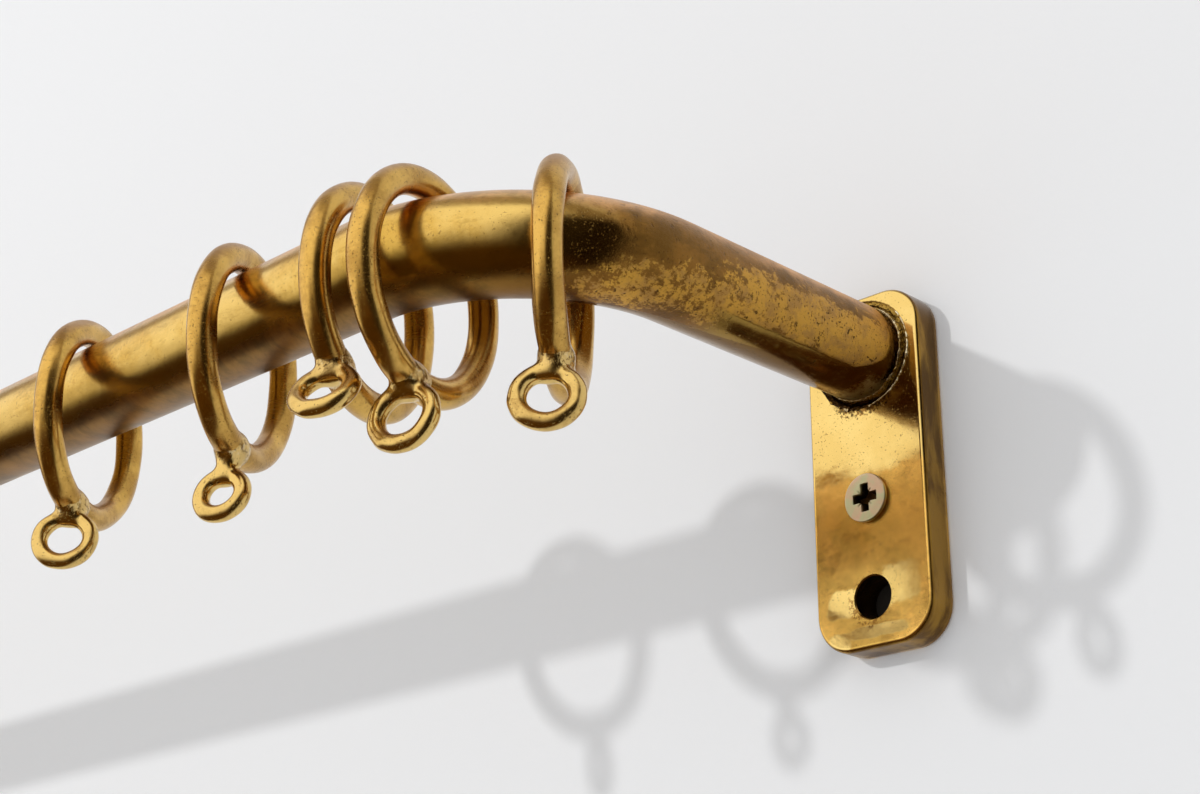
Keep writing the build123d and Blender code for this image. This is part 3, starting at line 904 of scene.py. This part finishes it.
def build_bead(side):
    """The braze round the pole's foot: a ridge up the pole, a hollow, and a lip on the plate."""
    sizes = bpy.context.scene.rod_sizes
    turn = np.linspace(0, 2 * math.pi, sizes.bead_segments, endpoint=False)
    face, floor = PLATE_FACE, BEAD_HIGH.y
    inner = POLE_RADIUS
    outer = (BEAD_HIGH.x - BEAD_LOW.x) / 2
    circle = np.stack([np.cos(turn), 0 * turn, np.sin(turn)], axis=-1)
    seed = 300 + (SIDES[side] > 0)
    lumpy = lumps(circle * inner, 0.0045, seed)
    fine = lumps(circle * inner, 0.0011, seed + 1)
    at_right = np.clip(np.cos(turn + math.radians(12)), 0, 1) ** 1.5
    at_foot = np.clip(np.cos(turn + math.radians(105)), 0, 1) ** 3
    lip = 0.05 + 0.36 * at_right * (1 + 0.25 * fine) + at_foot * (0.28 + 0.16 * lumpy + 0.22 * fine)
    lip = np.maximum(lip, 0.05) * MM
    ridge = (0.42 + 0.16 * lumpy + 0.06 * fine + 0.30 * at_foot) * MM
    across = np.concatenate([np.linspace(0, 1, 15), 1 + np.linspace(0.02, 1, 8)])
    radius = np.where(across <= 1, inner + (outer - inner) * across,
                      outer + (across - 1) * lip[:, None])
    at_top = np.clip(np.cos(turn - math.radians(75)), 0, 1)
    hollow = sizes.bead_hollow * (1 + 0.12 * lumpy) * (1 - 0.55 * at_top)
    by_pole = np.exp(-((radius - inner) / (0.55 * MM)) ** 2)
    depth = hollow[:, None] - (hollow + ridge)[:, None] * by_pole
    swell = np.sqrt(np.clip(1 - ((across - 1.3) / 0.72) ** 2, 0, 1))
    thick = 0.05 + 0.14 * at_right + 0.05 * (1 + fine) * (1 + 1.5 * at_foot)
    on_plate = thick[:, None] * swell * MM
    depth = np.where(across <= 1, depth, -on_plate)
    grainy = lumps(circle[:, None, :] * radius[..., None], 0.0009, seed + 2)
    depth += 0.035 * MM * grainy * (across <= 1)
    flat = 0 * lip
    under_radius = np.stack([outer + lip, flat + outer, flat + outer, flat + inner], axis=1)
    under_depth = np.tile([-0.02 * MM, -0.02 * MM, floor - face, floor - face], (len(turn), 1))
    radius = np.concatenate([radius, under_radius], axis=1)
    depth = np.concatenate([depth, under_depth], axis=1)
    points = circle[:, None, :] * radius[..., None]
    points[..., 0] = SIDES[side] * (PLATE_CENTRE + points[..., 0])
    points[..., 1] = face + depth
    points[..., 2] += POLE_HEIGHT
    faces = net(*radius.shape)
    if SIDES[side] < 0:
        faces = [quad[::-1] for quad in faces]
    piece = mesh_object(f"{side}_braze_ridge", points.reshape(-1, 3), faces)
    # Painted highlight: the outer lip is made paler on its right, where the light catches it.
    lit = np.clip(np.cos(turn + math.radians(22)) * 1.5, 0, 1)[:, None]
    bright = 1.1 * lit ** 2 * (radius > outer - 0.25 * MM)
    silver = 0.60 * np.exp(-((radius - inner) / (0.75 * MM)) ** 2)
    dross = 0.55 * (at_foot * (fine > 0.9))[:, None]
    shine = np.maximum(np.maximum(bright * (0.75 + 0.25 * fine[:, None]), silver), dross)
    # The braze is made darker the deeper it lies under the plate's face.
    shine *= 1 - np.clip(depth / sizes.bead_hollow, 0, 1) ** 3
    shine = np.maximum(shine, 0.42 * at_top[:, None])
    note(piece, "joint", np.clip(1 - shine, 0, 1).ravel())
    return piece


def recess_depth(across, up):
    """Depth of the cross recess at places on the head's face, as a share of its full depth."""
    a, b = np.abs(across), np.abs(up)
    long, short = np.maximum(a, b), np.minimum(a, b)
    walls = np.minimum(RECESS_SPAN / 2 - long, RECESS_ARM / 2 - short)
    rounded = 1.55 * MM - np.hypot(across, up)
    tick = np.minimum(2.3 * MM - np.hypot(across, up), 0.12 * MM - np.abs(a - b) / math.sqrt(2))
    cross = np.clip(np.maximum(walls, rounded) / (0.28 * MM), 0, 1)
    return np.maximum(cross, 0.12 * np.clip(tick / (0.08 * MM), 0, 1))


def build_screw(side):
    """A countersunk wood screw: cross recess, rounded rim, cone and a threaded, pointed shank."""
    sizes = bpy.context.scene.rod_sizes
    top, tip = SCREW_LOW.y, SCREW_HIGH.y
    head = (SCREW_HIGH.x - SCREW_LOW.x) / 2
    shank = SCREW_SHANK_RADIUS
    root = shank - sizes.thread_depth
    plain_shank = shank - 0.35 * MM
    rim = top + SCREW_RIM
    cone_end = rim + head - shank
    turn = np.linspace(0, 2 * math.pi, sizes.screw_sides, endpoint=False)
    along = np.arange(tip - 0.05 * MM, cone_end + 3.0 * MM, -0.16 * MM)
    taper = np.clip((tip - along) / (8.0 * MM), 0, 1) ** 0.8
    phase = (along[:, None] / sizes.thread_pitch + turn / (2 * math.pi)) % 1.0
    ridge = np.clip(1 - np.abs(phase - 0.5) / 0.26, 0, 1)
    grip = np.clip((along - (cone_end + 5.0 * MM)) / (3.0 * MM), 0, 1)
    core = root + (plain_shank - root) * (1 - grip)
    thread = sizes.thread_depth * ridge * (grip * taper ** 0.5)[:, None]
    shaft = core[:, None] * taper[:, None] + thread
    bevel = 0.16 * MM
    plain = [(plain_shank, cone_end + 2.0 * MM), (plain_shank, cone_end + 0.5 * MM),
             (shank, cone_end), (head - 0.05 * MM, rim + 0.05 * MM), (head, rim - 0.06 * MM),
             (head, top + bevel), (head - 0.3 * bevel, top + 0.3 * bevel), (head - bevel, top)]
    inward = np.linspace(head - bevel - 0.1 * MM, 0.04 * MM, 52)
    count = len(turn)
    radius = np.concatenate([shaft, np.repeat([[r] for r, _ in plain], count, 1),
                             np.repeat(inward[:, None], count, 1)])
    depth = np.concatenate([np.repeat(along[:, None], count, 1),
                            np.repeat([[y] for _, y in plain], count, 1),
                            np.full((len(inward), count), top)])
    across, up = radius * np.cos(turn), radius * np.sin(turn)
    sunk = recess_depth(across, up)
    sunk[: -len(inward)] = 0
    depth = depth + sunk * RECESS_DEPTH
    points = np.stack([SIDES[side] * PLATE_CENTRE + across, depth, UPPER_HOLE + up], axis=-1)
    points = points.reshape(-1, 3)
    faces = net(len(radius), count, closed=False)
    for start, flip in ((0, False), (len(points) - count, True)):
        centre = len(points)
        points = np.concatenate([points, [points[start:start + count].mean(axis=0)]])
        for column in range(count):
            near, beside = start + column, start + (column + 1) % count
            faces.append((near, beside, centre) if flip else (beside, near, centre))
    piece = mesh_object(f"{side}_wood_screw", points, faces)
    # Painted shade: the cross recess darkened by its depth, kept as the points' 'joint' values.
    shade = np.concatenate([np.clip(1.6 * sunk.ravel(), 0, 1), [0.0, 1.0]])
    note(piece, "joint", shade)
    return piece


def dress_node(name, material):
    """Gives a kept solid its material."""
    solid = frame["nodes"][name]
    solid.data.materials.clear()
    solid.data.materials.append(material)


def place_piece(piece, material, body, node):
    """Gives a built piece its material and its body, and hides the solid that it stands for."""
    piece.data.materials.append(material)
    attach(piece, body)
    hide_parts(node)


class ROD_OT_pole(bpy.types.Operator):
    """Build the pole in aged brass"""

    bl_idname = "curtain_rod.pole"
    bl_label = "Pole"

    def execute(self, context):
        place_piece(build_pole(), pole_brass(), "rod", "pole")
        return {"FINISHED"}


class ROD_OT_plates(bpy.types.Operator):
    """Finish the wall plates"""

    bl_idname = "curtain_rod.plates"
    bl_label = "Wall plates"

    def execute(self, context):
        material = plate_brass()
        for side in SIDES:
            dress_node(f"{side}_wall_plate", material)
        return {"FINISHED"}


class ROD_OT_rings(bpy.types.Operator):
    """Build the hoops and their eyes"""

    bl_idname = "curtain_rod.rings"
    bl_label = "Rings"

    def execute(self, context):
        finish = context.scene.rod_finish
        hoop_metal = wire_brass("hoop_brass", tuple(finish.ring), 0.5, (2600.0, 120.0, 1.0), 0.05)
        eye_metal = wire_brass("eye_brass", tuple(finish.eye), 0.35, (300.0, 1200.0, 1.0), 0.02)
        for side in SIDES:
            for number in range(1, RING_COUNT + 1):
                ring = ring_frame(side, number)
                body = f"{side}_ring_{number}"
                hoop = build_hoop(side, number, ring)
                place_piece(hoop, hoop_metal, body, f"{body}_hoop")
                eye = build_eye(side, number, ring)
                place_piece(eye, eye_metal, body, f"{body}_eye")
        return {"FINISHED"}


class ROD_OT_brazing(bpy.types.Operator):
    """Build the brazing of pole and plates"""

    bl_idname = "curtain_rod.brazing"
    bl_label = "Brazing"

    def execute(self, context):
        material = braze_metal()
        for side in SIDES:
            place_piece(build_bead(side), material, "rod", f"{side}_braze_bead")
        return {"FINISHED"}


class ROD_OT_screws(bpy.types.Operator):
    """Build the screws"""

    bl_idname = "curtain_rod.screws"
    bl_label = "Screws"

    def execute(self, context):
        material = screw_zinc()
        for side in SIDES:
            place_piece(build_screw(side), material, "rod", f"{side}_screw")
        return {"FINISHED"}


def flat_sheet(name, corners, material):
    """A flat four-cornered sheet of the stage."""
    sheet = mesh_object(name, corners, [(0, 1, 2, 3)], smooth=False)
    sheet.data.materials.append(material)


def surround_dome(material):
    """The front half of a dome round the rod, which only the metal sees."""
    count = 49
    angle = np.radians(np.linspace(-90, 90, count))
    t, r = np.meshgrid(angle, angle, indexing="ij")
    points = np.stack([np.sin(t) * np.cos(r), -np.cos(t) * np.cos(r), np.sin(r)], axis=-1)
    firsts = [i * count + j for i in range(count - 1) for j in range(count - 1)]
    faces = [(k, k + 1, k + count + 1, k + count) for k in firsts]
    dome = mesh_object("studio_surround", DOME_RADIUS * points.reshape(-1, 3), faces)
    dome.location = (0.75 * PLATE_CENTRE, 0.0, POLE_HEIGHT)
    dome.data.materials.append(material)
    for ray in ("camera", "diffuse", "shadow", "transmission"):
        setattr(dome, f"visible_{ray}", False)


def painted_bore_shade(side):
    """A dark disc of painted shade, standing for the hole drilled in the wall behind the open lower
    hole.
    """
    material, tree, shader = new_material(f"{side}_bore_shade")
    shader.inputs["Base Color"].default_value = (0.02, 0.016, 0.012, 1.0)
    shader.inputs["Roughness"].default_value = 0.9
    hide_from_behind(tree, shader, 0.0)
    # Painted shade: a near-black disc in place of the dark inside of the drilled hole.
    turn = np.linspace(0, 2 * math.pi, 48, endpoint=False)
    across, up = BORE_RADIUS * np.cos(turn), BORE_RADIUS * np.sin(turn)
    ring = np.stack([SIDES[side] * PLATE_CENTRE + across, 0 * turn + BORE_BEHIND, up], axis=-1)
    disc = mesh_object(f"{side}_painted_bore_shade", ring, [tuple(range(len(turn)))], smooth=False)
    disc.data.materials.append(material)


class ROD_OT_stage(bpy.types.Operator):
    """Set up the wall, the floor, the light and the camera"""

    bl_idname = "curtain_rod.stage"
    bl_label = "Stage"

    def execute(self, context):
        scene = context.scene
        stage = scene.rod_stage
        wall = plain_paint("wall_paint", tuple(stage.wall_colour))
        corners = ((-1, -1), (1, -1), (1, 1), (-1, 1))
        flat_sheet("back_wall", [(STAGE_SIDE * x, WALL_BEHIND, STAGE_TOP * z)
                                 for x, z in corners], wall)
        flat_sheet("floor", [(STAGE_SIDE * x, WALL_BEHIND if y > 0 else STAGE_FRONT, FLOOR_HEIGHT)
                             for x, y in corners], wall)
        surround_dome(studio_surround())
        for side in SIDES:
            painted_bore_shade(side)
        world = bpy.data.worlds.new("even_light")
        scene.world = world
        world.use_nodes = True
        background = world.node_tree.nodes["Background"]
        background.inputs["Color"].default_value = (1.0, 1.0, 1.0, 1.0)
        background.inputs["Strength"].default_value = stage.sky_strength
        lamp = bpy.data.lights.new("key_light", "AREA")
        lamp.shape = "DISK"
        lamp.size = LAMP_SIZE
        lamp.energy = stage.sun_power
        key = bpy.data.objects.new("key_light", lamp)
        way = Vector(LAMP_WAY).normalized()
        key.location = Vector(LAMP_AIM) - way * LAMP_DISTANCE
        key.rotation_mode = "QUATERNION"
        key.rotation_quaternion = way.to_track_quat("-Z", "Y")
        key.visible_glossy = False
        key.visible_camera = False
        scene.collection.objects.link(key)
        camera = bpy.data.objects.new("camera", bpy.data.cameras.new("camera"))
        camera.data.sensor_width = 36.0
        camera.data.lens = stage.focal_length
        camera.data.clip_start = 0.01
        camera.location = stage.camera_place
        turn, tilt = stage.camera_turn, stage.camera_tilt
        camera.rotation_euler = (math.pi / 2 + tilt, 0.0, turn)
        scene.collection.objects.link(camera)
        scene.camera = camera
        scene.view_settings.view_transform = "Standard"
        return {"FINISHED"}


OPERATORS = (ROD_OT_pole, ROD_OT_plates, ROD_OT_rings, ROD_OT_brazing, ROD_OT_screws, ROD_OT_stage)
GROUPS = {"rod_sizes": RodSizes, "rod_finish": RodFinish, "rod_stage": RodStage}


class ROD_PT_panel(bpy.types.Panel):
    """The sidebar's page for the curtain rod"""

    bl_idname = "ROD_PT_panel"
    bl_label = "Curtain Rod"
    bl_space_type = "VIEW_3D"
    bl_region_type = "UI"
    bl_category = "Curtain Rod"

    def draw(self, context):
        layout = self.layout
        for operator in OPERATORS:
            layout.operator(operator.bl_idname)
        for group in GROUPS:
            values = getattr(context.scene, group)
            box = layout.box()
            for key in values.bl_rna.properties.keys():
                if key not in ("rna_type", "name"):
                    box.prop(values, key)


CLASSES = (*GROUPS.values(), *OPERATORS, ROD_PT_panel)


def register():
    for cls in CLASSES:
        bpy.utils.register_class(cls)
    for key, group in GROUPS.items():
        setattr(bpy.types.Scene, key, PointerProperty(type=group))


def unregister():
    for key in GROUPS:
        delattr(bpy.types.Scene, key)
    for cls in reversed(CLASSES):
        bpy.utils.unregister_class(cls)


def main():
    """Builds everything in order."""
    register()
    make_cloudy_group()
    make_scratch_group()
    make_unevenness_group()
    make_ends_group()
    bpy.ops.curtain_rod.pole()
    bpy.ops.curtain_rod.plates()
    bpy.ops.curtain_rod.rings()
    bpy.ops.curtain_rod.brazing()
    bpy.ops.curtain_rod.screws()
    bpy.ops.curtain_rod.stage()


if __name__ == "__main__":
    main()
